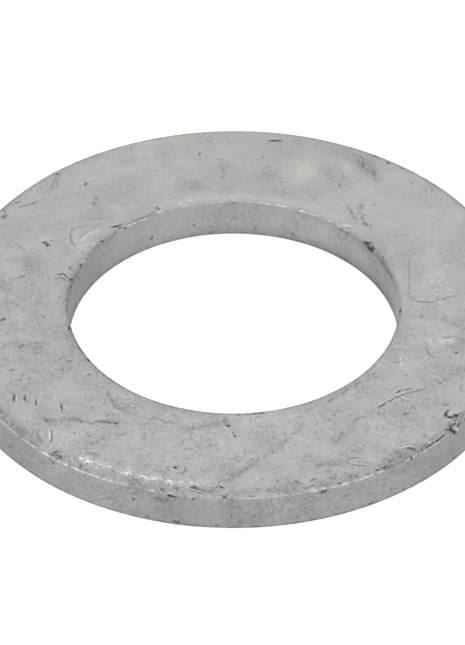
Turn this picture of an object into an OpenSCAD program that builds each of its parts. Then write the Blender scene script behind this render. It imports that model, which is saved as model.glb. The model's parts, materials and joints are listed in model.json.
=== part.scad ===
// Plain round washer of the normal series for an M20 bolt, punched from steel plate and hot-dip
// galvanised. It is one solid piece with no moving part.
//
// Units are millimetres. +Z runs along the axis of the bolt hole, and the origin is the centre of the
// bottom bearing face, so the washer lies flat on the plane z = 0.

/* [Ring] */
// Diameter of the bolt hole
bore_d = 21.3; // [21:0.05:21.4]
// Outside diameter of the ring
outer_d = 36.8; // [36.4:0.05:37]
// Thickness from one bearing face to the other
thickness = 2.9; // [2.7:0.05:3.3]

/* [Punched edges] */
// Width of the band that the punch rolled over round the outside of the top face
rim_roll_w = 0.6; // [0.3:0.05:1]
// How far that band has dropped where it meets the outside wall
rim_roll_h = 0.3; // [0.05:0.05:0.6]
// Width of the rolled-over band round the mouth of the hole in the top face
mouth_roll_w = 0.4; // [0.2:0.05:0.8]
// How far that band has dropped where it meets the wall of the hole
mouth_roll_h = 0.1; // [0.05:0.05:0.4]
// Radius that the zinc leaves on the two bottom edges
bottom_edge_r = 0.12; // [0.04:0.02:0.4]

/* [Hidden] */
$fn = 128;
bore_r = bore_d / 2;
outer_r = outer_d / 2;
// Straight pieces that draw each curved edge of the section
edge_steps = 8;

// A rolled-over edge is an arc that leaves the top face smoothly and drops h over a width w, so it
// meets the wall at a blunt corner. These are the radius of that arc and the angle it turns through.
function roll_radius(w, h) = (w * w + h * h) / (2 * h);
function roll_angle(w, h) = 2 * atan(h / w);

// The points of an arc of radius r round [x, z], from angle a0 to angle a1.
function arc(x, z, r, a0, a1) =
    [for (i = [0 : edge_steps])
        let (a = a0 + (a1 - a0) * i / edge_steps)
        [x + r * cos(a), z + r * sin(a)]];

function bottom_edge_of_hole() =
    arc(bore_r + bottom_edge_r, bottom_edge_r, bottom_edge_r, 270, 180);

function mouth_of_hole() =
    let (r = roll_radius(mouth_roll_w, mouth_roll_h))
    arc(bore_r + mouth_roll_w, thickness - r, r, 90 + roll_angle(mouth_roll_w, mouth_roll_h), 90);

function top_edge_of_rim() =
    let (r = roll_radius(rim_roll_w, rim_roll_h))
    arc(outer_r - rim_roll_w, thickness - r, r, 90, 90 - roll_angle(rim_roll_w, rim_roll_h));

function bottom_edge_of_rim() =
    arc(outer_r - bottom_edge_r, bottom_edge_r, bottom_edge_r, 0, -90);

// The whole washer, turned from its section: up the wall of the hole, out across the top face, down
// the outside wall and back along the bottom face.
module washer() {
    color("silver")
        rotate_extrude()
            polygon(concat(
                bottom_edge_of_hole(),
                mouth_of_hole(),
                top_edge_of_rim(),
                bottom_edge_of_rim()));
}

washer();
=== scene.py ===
import json
import math

import bpy
import numpy as np
from mathutils import Matrix, Vector, noise


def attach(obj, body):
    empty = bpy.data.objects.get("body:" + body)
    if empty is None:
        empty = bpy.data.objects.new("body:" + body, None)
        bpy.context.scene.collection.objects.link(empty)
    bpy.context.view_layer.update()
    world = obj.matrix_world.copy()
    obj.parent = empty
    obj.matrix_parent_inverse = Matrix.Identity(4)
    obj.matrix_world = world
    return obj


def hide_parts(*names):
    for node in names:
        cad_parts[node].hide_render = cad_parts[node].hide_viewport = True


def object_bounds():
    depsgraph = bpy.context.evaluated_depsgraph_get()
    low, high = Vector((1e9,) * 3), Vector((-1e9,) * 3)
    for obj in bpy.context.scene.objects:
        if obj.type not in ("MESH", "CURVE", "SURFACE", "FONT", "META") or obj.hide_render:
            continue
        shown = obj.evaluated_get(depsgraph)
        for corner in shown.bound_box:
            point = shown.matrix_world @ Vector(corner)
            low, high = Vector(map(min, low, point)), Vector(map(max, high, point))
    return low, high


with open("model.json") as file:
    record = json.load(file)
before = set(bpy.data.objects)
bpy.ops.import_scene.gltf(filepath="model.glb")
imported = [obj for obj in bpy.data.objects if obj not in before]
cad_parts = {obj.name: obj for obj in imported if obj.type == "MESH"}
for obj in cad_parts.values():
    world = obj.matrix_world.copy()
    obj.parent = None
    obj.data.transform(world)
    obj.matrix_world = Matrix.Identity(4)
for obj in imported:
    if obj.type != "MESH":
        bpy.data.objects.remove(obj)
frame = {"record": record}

CAD_LOW, CAD_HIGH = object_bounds()
MM = 0.001

# ---- Sizes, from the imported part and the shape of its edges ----
BOLT_HOLE = next(m for m in frame["record"]["mounts"] if m["name"] == "bolt_hole")
BORE_R = BOLT_HOLE["dims"]["r_mm"]
OUTER_R = CAD_HIGH.x / MM
THICKNESS = CAD_HIGH.z / MM
RIM_ROLL_W, RIM_ROLL_H = 0.6, 0.3
MOUTH_ROLL_W, MOUTH_ROLL_H = 0.4, 0.1
BOTTOM_EDGE_R = 0.12
# The mesh starts this far inside the CAD surface, which leaves room for what the zinc raises
INSET = 0.01

# Rows of the mesh in each stretch of the section, and its columns round the axis
BORE_ROWS = 16
MOUTH_ROWS = 5
TOP_ROWS = 58
RIM_ROLL_ROWS = 8
RIM_ROWS = 20
CORNER_ROWS = 4
BOTTOM_ROWS = 15
COLUMNS = 768

# Marks that overlap are kept in layers of their own, as far as these reach
STROKE_LAYERS = 4
# Far from every mark, across is so large that no mask is anywhere near
FAR_ACROSS = 60

# The angle in front where the rim is rolled over deepest and the zinc is mottled most
FRONT_ANGLE = 262
# Where the rim drops deeper again, and over what half-length, in degrees
DIP_ANGLE, DIP_HALF_LENGTH = 235, 10
# How much wider and deeper than on average the rolled-over rim is in front, and how much deeper at the dip
ROLL_W_LEAN, ROLL_H_LEAN, DIP_DEPTH = 0.1, 0.08, 0.1


def roll_radius(width, drop):
    """Radius of the arc that leaves the top face smoothly and drops that far over that width."""
    return (width ** 2 + drop ** 2) / (2 * drop)


def roll_angle(width, drop):
    """The angle that this arc turns through, in radians."""
    return 2 * np.arctan(drop / width)


def roll_length(width, drop):
    """How long this arc is."""
    return roll_radius(width, drop) * roll_angle(width, drop)


# along at the corner between the rolled-over rim and the outside wall, and at the mouth of the hole
RIM_CORNER = OUTER_R - RIM_ROLL_W + roll_length(RIM_ROLL_W, RIM_ROLL_H)
MOUTH_CORNER = BORE_R + MOUTH_ROLL_W - roll_length(MOUTH_ROLL_W, MOUTH_ROLL_H)
RIM_CORNER_Z = THICKNESS - RIM_ROLL_H
MOUTH_CORNER_Z = THICKNESS - MOUTH_ROLL_H


def on_rim(z):
    """along for a height z on the outside wall."""
    return RIM_CORNER + RIM_CORNER_Z - z


def on_bore(z):
    """along for a height z on the wall of the hole."""
    return MOUTH_CORNER - (MOUTH_CORNER_Z - z)


# ---- Marks on the surface ----
# What each kind of mark looks like: how dark it is, how bright it is painted as a highlight, how bright the
# painted highlight on the lip on its left is, seen along its path, and how deep it goes, in millimetres. The
# bright kinds, glint, bead and score, are painted highlights on rubbed zinc.
KINDS = {
    "gouge": (1.0, 0.0, 0.45, 0.08),
    "slit": (0.85, 0.0, 0.45, 0.04),
    "nick": (0.75, 0.0, 0.3, 0.04),
    "dot": (0.5, 0.0, 0.1, 0.02),
    "scratch": (0.32, 0.0, 0.2, 0.01),
    "hairline": (0.17, 0.0, 0.1, 0.004),
    "glint": (0.0, 0.55, 0.0, -0.015),
    "bead": (0.0, 1.1, 0.0, -0.03),
    "score": (0.0, 0.25, 0.0, 0.008),
}

# Every mark: its kind, its width in millimetres, and the angle and along of each corner of its path. An
# along that is less than the thickness stands for a height on the outside wall, or in BORE_MARKS and
# FLAKE_MARKS on the wall of the hole.
#
# The points of the marks, spots and smears that the photo shows were picked one by one in enlarged crops of
# it. A scratch script took most of them through the fitted camera, and printed each as an angle and a
# distance from the axis, or a height on a wall. The marks that the photo can't show are made up.
TOP_MARKS = [
    # round the front of the top face, right to left as it is seen from the front
    ("nick", 0.15, 311.5, 13.66, 314.2, 13.68),
    ("nick", 0.12, 314.7, 13.72, 317.3, 13.78),
    ("nick", 0.14, 317.7, 13.82, 320.7, 14.03),
    ("dot", 0.14, 321, 14.08, 323.4, 14.5, 325.6, 14.8),
    ("nick", 0.15, 319.4, 13.55, 321, 13.62),
    ("nick", 0.12, 321.5, 13.75, 323.3, 14.05),
    ("glint", 0.13, 319.1, 14.1, 318.8, 14.3),
    ("scratch", 0.12, 318.6, 14, 317.6, 14.5),
    ("scratch", 0.12, 319.4, 14.15, 318.3, 14.5),
    ("hairline", 0.13, 321.5, 15.25, 322.8, 15.5, 322.6, 15.7),
    ("hairline", 0.13, 312.3, 14.1, 310.8, 14.4, 309.8, 14.9, 309.7, 15.4, 310.4, 15.9, 312.6, 16.35),
    ("scratch", 0.17, 306.6, 13.9, 305.6, 13.8),
    ("scratch", 0.17, 305.2, 13.7, 304, 13.75),
    ("hairline", 0.14, 304, 13.75, 302.3, 14),
    ("scratch", 0.2, 303.9, 11.15, 301, 11.4),
    ("scratch", 0.1, 298.7, 14.24, 297, 14.7, 295.1, 15.05),
    ("hairline", 0.14, 294.9, 14.29, 295.2, 14.9),
    ("score", 0.14, 294.8, 12.8, 295.3, 11.8),
    ("scratch", 0.1, 294.4, 12.9, 294.8, 11.9),
    ("hairline", 0.16, 297.8, 16.6, 298.1, 16.2, 297.4, 16.15),
    ("dot", 0.12, 295.4, 16.72, 296.4, 16.78, 297.5, 16.97),
    ("dot", 0.13, 294.9, 17.25, 295.8, 17.5, 297.4, 17.84),
    ("scratch", 0.13, 295.2, 16.75, 294.6, 17, 294.9, 17.25),
    ("scratch", 0.16, 298, 17.4, 298.3, 17.7),
    ("hairline", 0.12, 310, 17.35, 311.8, 17.7),
    ("dot", 0.15, 312.2, 17.7, 313, 17.6),
    ("glint", 0.18, 306.2, 17.55, 307.7, 17.65),
    ("slit", 0.15, 307.2, 17.75, 308.1, 17.95, 308.7, 18.15),
    ("scratch", 0.14, 290.9, 17.8, 290.3, 18.1),
    ("hairline", 0.3, 274.4, 15.8, 271.3, 16.5),
    ("hairline", 0.22, 272.6, 14.8, 272.8, 14),
    ("nick", 0.2, 270.4, 13.02, 270, 12.9),
    ("scratch", 0.18, 269.9, 12.8, 269.5, 12.45),
    ("nick", 0.22, 268.6, 12.05, 268, 11.92),
    ("hairline", 0.3, 268, 11.6, 267, 11),
    ("slit", 0.16, 267, 17.75, 268, 17.9),
    ("gouge", 0.21, 257.2, 16.42, 256.7, 16.33),
    ("dot", 0.12, 257.8, 16.85, 258.8, 16.88, 259.4, 16.5, 259.1, 16.15),
    ("scratch", 0.14, 256, 16.75, 255.5, 16.6),
    ("hairline", 0.16, 261.3, 12.1, 258.5, 12.6, 256.2, 12.95),
    ("scratch", 0.14, 252.3, 12.35, 250.2, 12.3),
    ("gouge", 0.24, 261.4, 17.9, 262.5, 18),
    ("glint", 0.22, 261.3, 17.65, 261, 17.5),
    ("scratch", 0.28, 237.9, 17.22, 239.6, 17),
    ("scratch", 0.26, 238.2, 13.9, 237, 13.9),
    ("dot", 0.2, 236.4, 14.05, 235, 14.1, 233.7, 14.25),
    ("scratch", 0.2, 233.7, 14.25, 233, 14.5),
    ("hairline", 0.18, 229, 15.03, 228, 15.25),
    ("hairline", 0.24, 224.1, 16.45, 223.7, 16.35),
    ("hairline", 0.34, 240.2, 12.6, 236, 12.65, 233, 12.45, 230, 12.1, 228, 11.9),
    ("scratch", 0.24, 229, 12, 227.6, 11.85),
    ("hairline", 0.14, 226.5, 11.4, 227.6, 12, 230, 12.7, 233.5, 13),
    ("hairline", 0.12, 233.5, 12.9, 236.4, 12.2, 238.5, 12, 240, 12.3),
    ("scratch", 0.12, 235.5, 11.7, 238.6, 11.65),
    ("hairline", 0.12, 224.5, 11.6, 225.6, 12.3, 225.2, 13),
    ("nick", 0.12, 227.2, 16.9, 228.7, 17.35, 229.6, 17.78),
    ("glint", 0.15, 227.6, 17.15, 229, 17.65),
    ("scratch", 0.16, 225.3, 17.6, 226.4, 17.85, 227.8, 18, 228.8, 17.98),
    ("hairline", 0.15, 226.7, 17.35, 227.6, 17.42, 228.5, 17.85),
    ("scratch", 0.18, 223.3, 16.4, 224.9, 16.5),
    ("slit", 0.17, 222.1, 14.72, 223.5, 14.97),
    ("scratch", 0.12, 223.5, 14.97, 224.7, 15.17),
    ("slit", 0.2, 212.6, 16.55, 214.6, 16.95),
    ("slit", 0.18, 214.4, 16.05, 215.7, 16.3),
    ("slit", 0.16, 217.1, 15.7, 218.3, 15.95),
    ("slit", 0.14, 217.4, 11.4, 216.7, 11.6),
    ("dot", 0.2, 204.8, 15.7, 204.8, 15.4),
    ("dot", 0.2, 197.4, 14.4, 196.8, 14.1),
    ("scratch", 0.18, 186.4, 12.25, 185.3, 12.4),
    ("nick", 0.24, 186.2, 15.1, 185.5, 14.8),
    ("hairline", 0.16, 176.8, 12.5, 174.8, 12.55, 173, 12.75),
    ("score", 0.16, 217.3, 11.2, 215.5, 11.7),
    ("dot", 0.18, 208.8, 11.75, 208.1, 12.05),
    ("dot", 0.15, 169.4, 14.22, 168.4, 14.05, 167.7, 13.75),
    # the left and back of the top face
    ("gouge", 0.14, 165.1, 11.75, 164.3, 11.45, 164.8, 11.28),
    ("nick", 0.12, 164.8, 11.28, 166.1, 10.98),
    ("gouge", 0.26, 166.7, 10.86, 166.2, 10.78),
    ("dot", 0.12, 166.9, 11.8, 166.5, 11.42, 167.3, 11.1),
    ("dot", 0.18, 161.6, 11.15, 160.6, 11.25),
    ("scratch", 0.1, 157.8, 14.75, 157.4, 15.1, 156, 15.6),
    ("hairline", 0.12, 157, 12.95, 155.2, 13.4, 153.6, 13.6),
    ("nick", 0.24, 153.2, 14, 152.8, 13.85, 153.5, 13.55),
    ("nick", 0.22, 153.6, 13.6, 153.2, 13.5),
    ("dot", 0.28, 149.6, 17.6, 148.6, 17.48),
    ("scratch", 0.2, 144.7, 17.25, 142.9, 16.96),
    ("dot", 0.15, 142.9, 16.96, 140.7, 16.73),
    ("hairline", 0.15, 135.6, 16.85, 133.3, 17.35, 131, 17.8),
    ("hairline", 0.12, 134.2, 16.75, 132.4, 17.2, 130, 17.65),
    ("nick", 0.18, 131, 17.9, 130.6, 17.75),
    ("nick", 0.22, 128.5, 15.75, 128, 15.9),
    ("score", 0.1, 126.6, 16, 125, 15.95, 123.2, 16.03),
    ("hairline", 0.12, 127.6, 15.75, 125.5, 15.82, 122.6, 15.88),
    ("gouge", 0.19, 135.4, 11.27, 133.9, 11.13, 132.3, 11),
    ("nick", 0.2, 117.2, 11.1, 116.7, 11.12),
    ("score", 0.16, 112, 11.7, 111.2, 11.8),
    ("score", 0.22, 109.2, 10.95, 108, 11),
    ("score", 0.24, 106, 11.12, 104.4, 11),
    ("scratch", 0.16, 111, 14.6, 110, 14.75),
    ("hairline", 0.12, 106.6, 15.3, 105.6, 15.55),
    ("dot", 0.18, 98.4, 15.6, 98.1, 15.85),
    ("hairline", 0.2, 103.9, 11.2, 103.3, 11.4),
    ("hairline", 0.18, 92.6, 14.1, 92.9, 13.3),
    ("nick", 0.26, 81.3, 17.18, 79.3, 17.3),
    ("dot", 0.2, 82.3, 17.13, 81.3, 17.18),
    ("scratch", 0.18, 76.1, 13.1, 75.2, 13),
    ("scratch", 0.16, 74.5, 12.1, 73.2, 12),
    ("scratch", 0.14, 61.4, 15.25, 60.9, 15),
    ("hairline", 0.1, 60.9, 15, 60.4, 14.3),
    ("dot", 0.18, 60.4, 14.2, 60, 14),
    ("scratch", 0.16, 62.6, 17.4, 61, 17.5, 60, 17.3),
    ("scratch", 0.26, 59.4, 16.9, 58.4, 16.5),
    ("scratch", 0.2, 55.8, 16.6, 54.8, 16.15),
    ("nick", 0.24, 55.1, 17.9, 54.5, 17.88),
    ("scratch", 0.14, 54.3, 15.95, 53.6, 15.95),
    ("scratch", 0.16, 42.4, 17.25, 41.7, 17.05),
    ("hairline", 0.14, 36, 15.6, 35, 15.8, 34, 15.8),
    ("scratch", 0.24, 49.9, 13.2, 49.1, 12.95),
    ("hairline", 0.3, 52.6, 12.4, 51.2, 12.3),
    ("scratch", 0.22, 51, 12.25, 49.6, 12.05),
    ("scratch", 0.2, 47, 12.55, 45.8, 12.5),
    ("scratch", 0.2, 46.5, 12.2, 45.6, 12.2),
    ("scratch", 0.28, 48.4, 11.9, 47, 11.85),
    ("dot", 0.24, 44, 11.85, 43, 11.9),
    ("scratch", 0.18, 47.9, 13.8, 47.2, 13.75),
    # the right of the top face
    ("hairline", 0.18, 21.5, 12.3, 17, 11.9, 12, 11.62),
    ("hairline", 0.18, 12, 11.62, 7, 11.45, 2.7, 11.36),
    ("dot", 0.14, 2.4, 11.4, 1, 11.9, 0.4, 12.5, 1.4, 13.2),
    ("scratch", 0.14, 1.4, 13.2, 2.9, 14.1, 3.3, 14.6),
    ("hairline", 0.18, 7.5, 13, 5.9, 12.9, 4.8, 13.3),
    ("dot", 0.12, 345.7, 13.76, 346.6, 14.5),
    ("hairline", 0.24, 343.3, 14.6, 341.8, 14.2),
    ("nick", 0.2, 341, 15.1, 340.7, 15),
    ("scratch", 0.18, 340.2, 13.06, 338.2, 13.4, 337.4, 13.7, 337.5, 14.05),
    ("score", 0.2, 345.3, 14.85, 345, 13.9),
    ("score", 0.14, 344.6, 14.5, 344.3, 13.6),
    ("score", 0.24, 343.6, 14.1, 343.7, 13.5),
    ("score", 0.2, 344.4, 12.75, 343.4, 13.1, 341.6, 13.5),
    ("score", 0.16, 346.1, 14.6, 345.2, 14.2),
    ("glint", 0.12, 333.4, 11.85, 331.8, 12.05),
    ("scratch", 0.18, 330.9, 12, 330.3, 11.8),
    ("scratch", 0.16, 330.4, 16.6, 329.6, 16.7),
    ("scratch", 0.14, 327.1, 13.15, 326.5, 12.95),
    ("glint", 0.11, 331, 12.15, 329.8, 12.4),
    # the torn spot near the rim at the right
    ("gouge", 0.22, 321.8, 17.15, 320.8, 17.2, 320.3, 17.45, 320.7, 17.7, 321.6, 17.72),
    ("gouge", 0.21, 321.6, 17.72, 321.7, 17.85, 322.6, 17.9),
    ("scratch", 0.3, 323.5, 16.8, 322.8, 16.6),
]

# The raised scale beside the hole at the left: its middle, its size in millimetres and its outline
FLAKE_ANGLE, FLAKE_ALONG = 145, 11.7
FLAKE_HALF_LENGTH, FLAKE_HALF_WIDTH = 1.35, 1.2
FLAKE_HEIGHT = 0.02
FLAKE_MARKS = [
    ("scratch", 0.2, 151, 11.6, 149, 12.35, 146.6, 12.8, 144.6, 13.05),
    ("score", 0.16, 148.3, 11.8, 143.5, 11.9, 139.1, 11.58),
    ("score", 0.18, 150.1, 12.08, 150.4, 11.5, 149.6, 10.95),
    ("hairline", 0.14, 143.5, 13.05, 141.4, 12.8, 139, 12.15),
    ("hairline", 0.14, 147, 12.1, 143.6, 12.15, 140.6, 12),
]

RIM_MARKS = [
    ("nick", 0.24, 147.3, 18.2, 146.6, 18.25),
    ("gouge", 0.22, 318.9, 18, 318.3, 18.25, 318.7, 2.5, 319.5, 2.25),
    ("glint", 0.15, 319.3, 18.2, 319.4, 18.45, 319.9, 2.4),
    ("nick", 0.12, 310.8, 18.33, 313.4, 18.36),
    ("nick", 0.12, 313.6, 18.35, 316.2, 18.32),
    ("nick", 0.16, 320, 18.4, 320.9, 18.35),
    ("nick", 0.16, 322.2, 18.4, 324.5, 18.35),
    ("dot", 0.16, 300.6, 18.38, 303, 18.42),
    ("nick", 0.16, 304.5, 18.45, 304.9, 18.45),
    ("nick", 0.2, 307, 2.62, 307.1, 2.45),
    ("gouge", 0.32, 287.2, 2.36, 288, 2.38),
    ("glint", 0.3, 285.2, 18.43, 285.8, 18.45),
    ("gouge", 0.2, 267.9, 18.44, 268.5, 18.45),
    ("glint", 0.16, 268.1, 2.45, 268.3, 2.45),
    ("gouge", 0.22, 257.2, 2.45, 258.1, 2.44),
    ("nick", 0.15, 258.5, 2.4, 259, 2.4),
    ("nick", 0.16, 262, 2.45, 262.1, 2.35),
    ("dot", 0.11, 254.6, 2.12, 255.8, 2.05),
    ("nick", 0.22, 249.9, 1.6, 250.3, 1.56),
    ("scratch", 0.14, 243.1, 0.78, 244.2, 0.95),
    ("hairline", 0.16, 246.1, 2.05, 246.5, 2.05),
    ("scratch", 0.14, 232.5, 2.25, 231, 1.95),
    ("hairline", 0.14, 231, 1.95, 229.2, 1.55, 227.3, 1.1),
    ("dot", 0.12, 230.9, 2.5, 232.5, 2.15),
    ("glint", 0.15, 241.9, 0.25, 242.5, 0.25),
    ("hairline", 0.2, 219.8, 1, 219.2, 0.8),
    ("hairline", 0.2, 226.9, 1.7, 226.5, 1.6),
    ("hairline", 0.26, 246.1, 1.2, 244.5, 1.1),
    ("scratch", 0.12, 255.2, 1.93, 256.8, 1.98),
    ("dot", 0.11, 256.3, 2.14, 257.3, 2.02),
    ("hairline", 0.12, 277.2, 2.1, 277.3, 1.85),
    ("hairline", 0.2, 280.1, 1.4, 281, 1.4),
    ("scratch", 0.12, 283.7, 1.3, 284.5, 1.35),
    ("hairline", 0.16, 295, 1.9, 295.1, 1.65),
    ("scratch", 0.14, 307.8, 0.95, 308.5, 0.9),
    ("nick", 0.24, 258, 0.28, 259.3, 0.28),
    ("dot", 0.2, 252.6, 0.35, 253.2, 0.32),
    ("dot", 0.2, 297.2, 0.25, 297.8, 0.25),
]

BORE_MARKS = [
    ("gouge", 0.26, 36.6, 10.63, 35.5, 10.75, 34.5, 10.95),
    ("gouge", 0.3, 35, 2.66, 33.6, 2.62, 32.2, 2.68, 31.6, 10.68),
    ("gouge", 0.2, 35.4, 10.66, 34.4, 10.68, 33, 10.7),
    ("nick", 0.2, 33.4, 10.84, 32.4, 10.82),
    ("glint", 0.14, 34.5, 10.66, 34.1, 10.72),
    ("glint", 0.13, 33.3, 10.6, 32.9, 10.64),
    ("nick", 0.14, 26.3, 10.86, 25.4, 10.8),
    ("dot", 0.16, 49.8, 2.5, 48, 2.53),
    ("dot", 0.13, 46.2, 2.5, 45, 2.52),
    ("glint", 0.22, 50.4, 2.68, 48.6, 10.7, 47, 10.9, 45.6, 11.08),
    ("scratch", 0.14, 48.8, 2.74, 46.9, 10.76, 45.3, 10.9),
    ("glint", 0.14, 65.8, 2.78, 64.4, 2.78),
    ("glint", 0.16, 61.8, 2.78, 60.8, 2.78),
    ("glint", 0.14, 54.8, 2.76, 53.2, 2.76),
    ("hairline", 0.2, 71, 1.4, 70.5, 1.35),
    ("hairline", 0.18, 78.2, 1.45, 77.8, 1.4),
    ("dot", 0.16, 82.4, 0.75, 82.1, 0.5),
    ("hairline", 0.18, 97.6, 0.8, 96.6, 0.75),
    ("nick", 0.17, 104.2, 1.08, 104, 1.02),
    ("hairline", 0.14, 108.5, 1, 108.4, 0.65),
    ("nick", 0.2, 120.2, 1, 120.6, 0.8),
    ("hairline", 0.2, 126, 0.4, 125, 0.42),
    ("nick", 0.16, 132.2, 2.76, 130.9, 2.73),
    ("bead", 0.13, 131.3, 2.79, 126.6, 2.78),
    ("bead", 0.13, 124.9, 2.76, 122.3, 2.72),
    ("dot", 0.09, 130.2, 10.76, 127.4, 10.78, 125, 10.76),
    ("nick", 0.18, 124.8, 10.73, 123.8, 10.68),
    ("scratch", 0.12, 123.4, 10.76, 120, 10.8, 117.6, 10.86),
    ("glint", 0.12, 118.2, 10.76, 116, 10.8),
    ("nick", 0.11, 117.4, 10.9, 116.1, 10.93),
    ("nick", 0.14, 90.4, 2.72, 89.6, 2.7),
    ("bead", 0.25, 155.7, 10.65, 155, 10.65),
    ("glint", 0.14, 152.6, 10.72, 152.2, 10.68),
    ("glint", 0.14, 147.3, 10.68, 146.9, 10.64),
    ("glint", 0.16, 146.4, 11, 145.9, 10.95),
    ("nick", 0.2, 193.2, 10.8, 191.8, 10.8),
    ("scratch", 0.16, 196, 10.75, 202, 10.75, 207, 10.73),
    ("nick", 0.2, 210, 10.78, 211.6, 10.78),
    ("glint", 0.12, 212.2, 10.8, 213, 10.8),
    ("hairline", 0.14, 214, 10.8, 222, 10.78, 231, 10.76),
    ("nick", 0.2, 279.9, 10.9, 278.8, 10.86),
    ("nick", 0.2, 277.8, 10.88, 276.2, 10.85),
    ("dot", 0.2, 275.4, 10.86, 273.4, 10.86),
    ("nick", 0.22, 271.8, 10.87, 271.1, 10.85),
    ("nick", 0.18, 357.4, 10.72, 354.8, 10.72),
]

# Small round spots: their length in degrees, and the width, angle and along of each
SPOT_LENGTH = 0.3
SPOTS = [
    (0.16, 318.3, 16.75), (0.2, 318.2, 15.15), (0.18, 315, 15.3), (0.22, 310.4, 14.1),
    (0.18, 303.8, 13.2), (0.22, 300.1, 12.6), (0.18, 297, 17.3), (0.14, 286.4, 13.25),
    (0.16, 283.7, 13.75), (0.2, 279.5, 14.75), (0.16, 276.1, 17.2), (0.22, 267.7, 11.9),
    (0.2, 247, 14.35), (0.2, 237.7, 13.9), (0.22, 232.7, 14.8), (0.18, 230.5, 15.05),
    (0.16, 231.7, 16.15), (0.18, 210.8, 12.7), (0.12, 191.2, 14.8), (0.2, 171.4, 13.2),
    (0.14, 151.4, 13.6), (0.18, 129.6, 14.2), (0.28, 131.8, 13.85), (0.16, 133.2, 12.8),
    (0.16, 93.3, 13.15), (0.14, 93.2, 15.05), (0.14, 82.9, 15.3), (0.14, 80.7, 14.45), (0.16, 46.5, 17.1),
    (0.2, 50.7, 13.15), (0.22, 41.4, 11.95), (0.2, 2.5, 13.15), (0.16, 1.9, 13.6), (0.2, 353.8, 12.15),
    (0.16, 333, 16.25), (0.16, 328.9, 15.3), (0.2, 144.4, 13.05), (0.22, 294.8, 18.25),
    (0.14, 283.6, 18.45), (0.24, 220, on_rim(1.05)), (0.12, 259.3, on_rim(0.9)),
    (0.22, 302.4, on_rim(0.75)), (0.16, 267.2, on_rim(0.3)), (0.18, 305.5, on_rim(0.3)),
    (0.18, 319, on_rim(0.3)), (0.14, 67.4, on_bore(1.65)), (0.16, 66.3, on_bore(1.5)),
    (0.28, 68.6, on_bore(0.65)), (0.18, 66.2, 10.75), (0.18, 311, 10.75), (0.16, 349.8, 10.75),
    (0.16, 234.9, 15.82), (0.15, 236.6, 16.37), (0.17, 237.8, 16.08), (0.14, 238.2, 15.54),
    (0.15, 241, 14.72), (0.13, 241.7, 14.56), (0.15, 236.8, 16.98), (0.15, 245.4, 17.15),
]

# Soft grainy smears: width, how dark, and path
SMUDGES = [
    (0.5, 1, [(149.5, 17.6), (148.4, 17.5)]),
    (0.5, 1, [(152.8, 17.25), (151.8, 17.15)]),
    (0.4, 1.1, [(130.8, 17.75), (135, 16.9)]),
    (1.3, 0.7, [(161, 14.1), (165.5, 13.4)]),
    (0.9, 0.7, [(172, 15.1), (174, 14.9)]),
    (0.5, 0.5, [(178, 14.8), (179, 14.6)]),
    (1.1, 0.5, [(195.5, 14.5), (197.5, 13.7)]),
    (0.7, 0.6, [(198, 13.2), (199.5, 12.9)]),
    (0.4, 0.7, [(194.3, 12.4), (195.6, 12.2)]),
    (0.5, 0.5, [(202.8, 14.6), (203.8, 14.5)]),
    (0.6, 0.9, [(130.4, 14.1), (132.2, 13.2)]),
    (0.7, 0.5, [(112, 16.2), (116, 16.4)]),
    (0.9, 0.8, [(59.6, 16.95), (57.4, 16.4)]),
    (0.7, 1, [(56, 16.6), (53.5, 15.9)]),
    (0.35, 0.8, [(52.1, 12.35), (48.4, 11.75)]),
    (0.3, 1.1, [(50.1, 12.95), (46.5, 12.2), (42.6, 11.75)]),
    (0.55, 0.9, [(352.9, 13.6), (350.4, 15.1)]),
    (0.5, 0.8, [(342, 11.45), (340.4, 11.6)]),
    (0.5, 0.6, [(335, 11.1), (330, 11.3)]),
    (0.35, 1, [(323.4, 11.25), (319, 11.25), (311, 11.1), (302.5, 11.3)]),
    (0.6, 0.6, [(295.2, 14.95), (297.5, 14.6), (303.8, 13.8), (306, 13.7)]),
    (0.7, 0.7, [(303.2, 17.35), (304.5, 17.8), (307.4, 17.85)]),
    (0.6, 0.6, [(320.4, 16), (321.6, 16.1)]),
    (0.6, 0.6, [(331, 15.4), (336, 16)]),
    (0.5, 0.8, [(288.3, 16.65), (293.2, 16.75)]),
    (0.5, 0.9, [(289.9, 12.6), (287.2, 13.15), (283.7, 13.75), (278.2, 14.8), (273.6, 15.8), (269.6, 16.9)]),
    (0.4, 0.6, [(268.5, 17.1), (266.5, 17.1)]),
    (0.5, 1.2, [(255.6, 12.6), (260, 12.25), (266.3, 11.6)]),
    (0.3, 1, [(266.8, 11.1), (268.4, 11.95)]),
    (0.5, 0.6, [(254.5, 16.7), (256.1, 16.5), (259.1, 16.6)]),
    (0.25, 0.6, [(247.9, 12.3), (249.8, 12.35)]),
    (0.5, 0.8, [(238, 17.05), (239.6, 17.1)]),
    (0.3, 1.2, [(229, 15.1), (232, 14.8), (233.2, 14.5), (238.1, 13.75)]),
    (0.38, 1.3, [(223.8, 16.42), (228.8, 15.05)]),
    (0.4, 0.8, [(221.1, 18.3), (223, 18.2)]),
    (0.5, 0.8, [(213.5, 18), (219.5, 18.1)]),
    (0.25, 1, [(225.9, 18.3), (228.1, 18.2)]),
    (0.35, 1.6, [(232.9, 18.33), (234.1, 18.3)]),
    (0.4, 0.6, [(254.5, on_rim(2)), (257.5, on_rim(1.9))]),
]

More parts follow.
